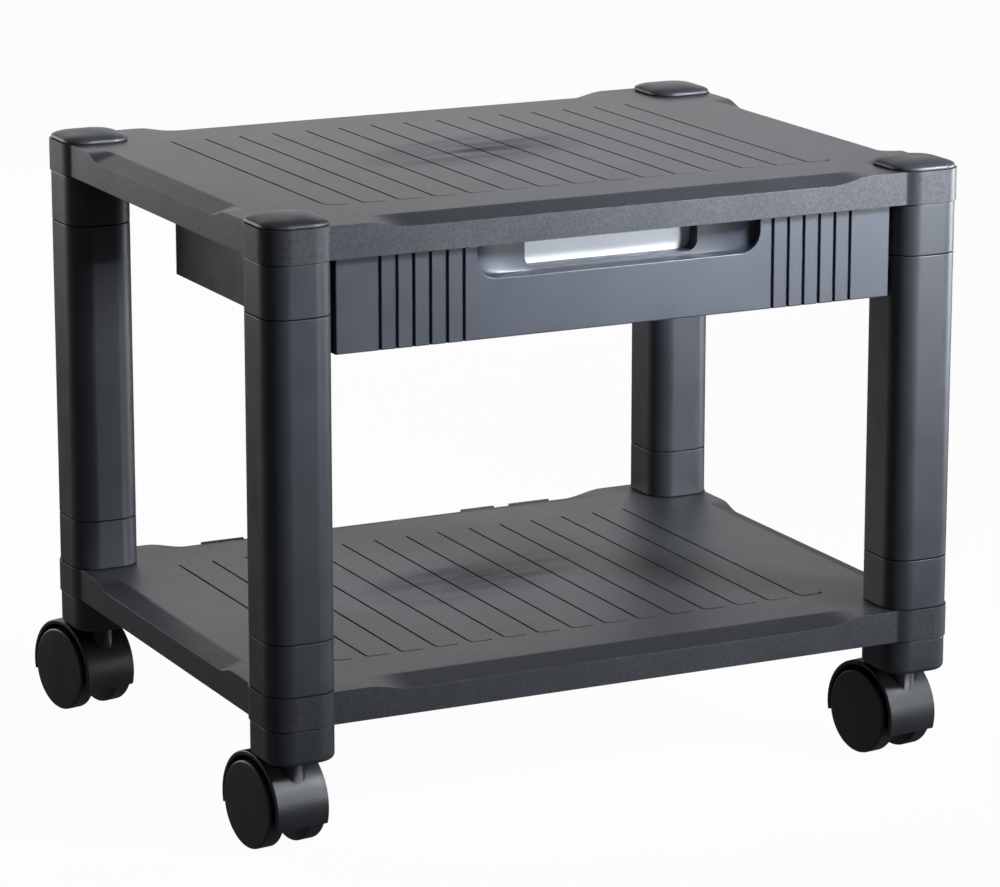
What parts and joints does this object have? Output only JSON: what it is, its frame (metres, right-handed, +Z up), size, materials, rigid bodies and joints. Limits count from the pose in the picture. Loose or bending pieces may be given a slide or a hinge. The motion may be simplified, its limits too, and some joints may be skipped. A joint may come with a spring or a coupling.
{
  "type": "mobile printer stand",
  "caption": "Low rolling printer stand: two ribbed plastic shelves on square posts, a pull-out drawer under the top shelf and swivelling twin-wheel casters.",
  "frame": {"origin": "on the floor under the middle of the stand's box, casters included", "axes": "+Z up; the drawer front faces -Y; +X to the right seen from the front"},
  "size_m": [0.4396, 0.3652, 0.3585],
  "materials": {
    "shelf_black": "fine-grained satin black moulding",
    "post_black": "satin black moulding",
    "cap_black": "satin black moulding",
    "drawer_black": "satin blue-black moulding",
    "caster_black": "satin black nylon",
    "tray_grey": "light grey moulding",
    "zinc_steel": "zinc plated"
  },
  "bodies": {
    "stand": {"upper_shelf": "shelf_black", "lower_shelf": "shelf_black", "post_front_left": "post_black", "lower_connector_front_left": "post_black", "upper_connector_front_left": "post_black", "corner_cap_front_left": "cap_black", "foot_front_left": "post_black", "caster_stem_front_left": "zinc_steel", "post_front_right": "post_black", "lower_connector_front_right": "post_black", "upper_connector_front_right": "post_black", "corner_cap_front_right": "cap_black", "foot_front_right": "post_black", "caster_stem_front_right": "zinc_steel", "post_back_left": "post_black", "lower_connector_back_left": "post_black", "upper_connector_back_left": "post_black", "corner_cap_back_left": "cap_black", "foot_back_left": "post_black", "caster_stem_back_left": "zinc_steel", "post_back_right": "post_black", "lower_connector_back_right": "post_black", "upper_connector_back_right": "post_black", "corner_cap_back_right": "cap_black", "foot_back_right": "post_black", "caster_stem_back_right": "zinc_steel", "drawer_runner_left": "drawer_black", "runner_screw_front_left": "zinc_steel", "runner_screw_back_left": "zinc_steel", "drawer_runner_right": "drawer_black", "runner_screw_front_right": "zinc_steel", "runner_screw_back_right": "zinc_steel", "cable_clip_inner_left": "cap_black", "cable_clip_inner_right": "cap_black", "cable_clip_outer_left": "cap_black", "cable_clip_outer_right": "cap_black"},
    "drawer": {"drawer_front": "drawer_black", "drawer_tray": "tray_grey", "drawer_front_screw_left": "zinc_steel", "drawer_front_screw_right": "zinc_steel"},
    "caster_front_left": {"caster_hood_front_left": "caster_black", "caster_axle_front_left": "zinc_steel"},
    "wheel_left_front_left": {"caster_wheel_left_front_left": "caster_black"},
    "wheel_right_front_left": {"caster_wheel_right_front_left": "caster_black"},
    "caster_front_right": {"caster_hood_front_right": "caster_black", "caster_axle_front_right": "zinc_steel"},
    "wheel_left_front_right": {"caster_wheel_left_front_right": "caster_black"},
    "wheel_right_front_right": {"caster_wheel_right_front_right": "caster_black"},
    "caster_back_left": {"caster_hood_back_left": "caster_black", "caster_axle_back_left": "zinc_steel"},
    "wheel_left_back_left": {"caster_wheel_left_back_left": "caster_black"},
    "wheel_right_back_left": {"caster_wheel_right_back_left": "caster_black"},
    "caster_back_right": {"caster_hood_back_right": "caster_black", "caster_axle_back_right": "zinc_steel"},
    "wheel_left_back_right": {"caster_wheel_left_back_right": "caster_black"},
    "wheel_right_back_right": {"caster_wheel_right_back_right": "caster_black"}
  },
  "joints": [
    {"name": "drawer_slide", "type": "slide", "parent": "stand", "child": "drawer", "axis": [0, -1, 0], "range_m": [0, 0.17]},
    {"name": "swivel_front_left", "type": "hinge", "parent": "stand", "child": "caster_front_left", "pos_m": [-0.19254, -0.15998, 0.045], "axis": [0, 0, 1], "continuous": true},
    {"name": "spin_left_front_left", "type": "hinge", "parent": "caster_front_left", "child": "wheel_left_front_left", "pos_m": [-0.19502, -0.14114, 0.025], "axis": [0.9914, 0.1305, 0], "continuous": true},
    {"name": "spin_right_front_left", "type": "hinge", "parent": "caster_front_left", "child": "wheel_right_front_left", "pos_m": [-0.19502, -0.14114, 0.025], "axis": [0.9914, 0.1305, 0], "continuous": true},
    {"name": "swivel_front_right", "type": "hinge", "parent": "stand", "child": "caster_front_right", "pos_m": [0.19856, -0.15998, 0.045], "axis": [0, 0, 1], "continuous": true},
    {"name": "spin_left_front_right", "type": "hinge", "parent": "caster_front_right", "child": "wheel_left_front_right", "pos_m": [0.19598, -0.14116, 0.025], "axis": [0.9907, 0.1357, 0], "continuous": true},
    {"name": "spin_right_front_right", "type": "hinge", "parent": "caster_front_right", "child": "wheel_right_front_right", "pos_m": [0.19598, -0.14116, 0.025], "axis": [0.9907, 0.1357, 0], "continuous": true},
    {"name": "swivel_back_left", "type": "hinge", "parent": "stand", "child": "caster_back_left", "pos_m": [-0.19254, 0.13092, 0.045], "axis": [0, 0, 1], "continuous": true},
    {"name": "spin_left_back_left", "type": "hinge", "parent": "caster_back_left", "child": "wheel_left_back_left", "pos_m": [-0.19655, 0.14949, 0.025], "axis": [0.9774, 0.2113, 0], "continuous": true},
    {"name": "spin_right_back_left", "type": "hinge", "parent": "caster_back_left", "child": "wheel_right_back_left", "pos_m": [-0.19655, 0.14949, 0.025], "axis": [0.9774, 0.2113, 0], "continuous": true},
    {"name": "swivel_back_right", "type": "hinge", "parent": "stand", "child": "caster_back_right", "pos_m": [0.19856, 0.13092, 0.045], "axis": [0, 0, 1], "continuous": true},
    {"name": "spin_left_back_right", "type": "hinge", "parent": "caster_back_right", "child": "wheel_left_back_right", "pos_m": [0.19691, 0.14985, 0.025], "axis": [0.9962, 0.0872, 0], "continuous": true},
    {"name": "spin_right_back_right", "type": "hinge", "parent": "caster_back_right", "child": "wheel_right_back_right", "pos_m": [0.19691, 0.14985, 0.025], "axis": [0.9962, 0.0872, 0], "continuous": true}
  ]
}
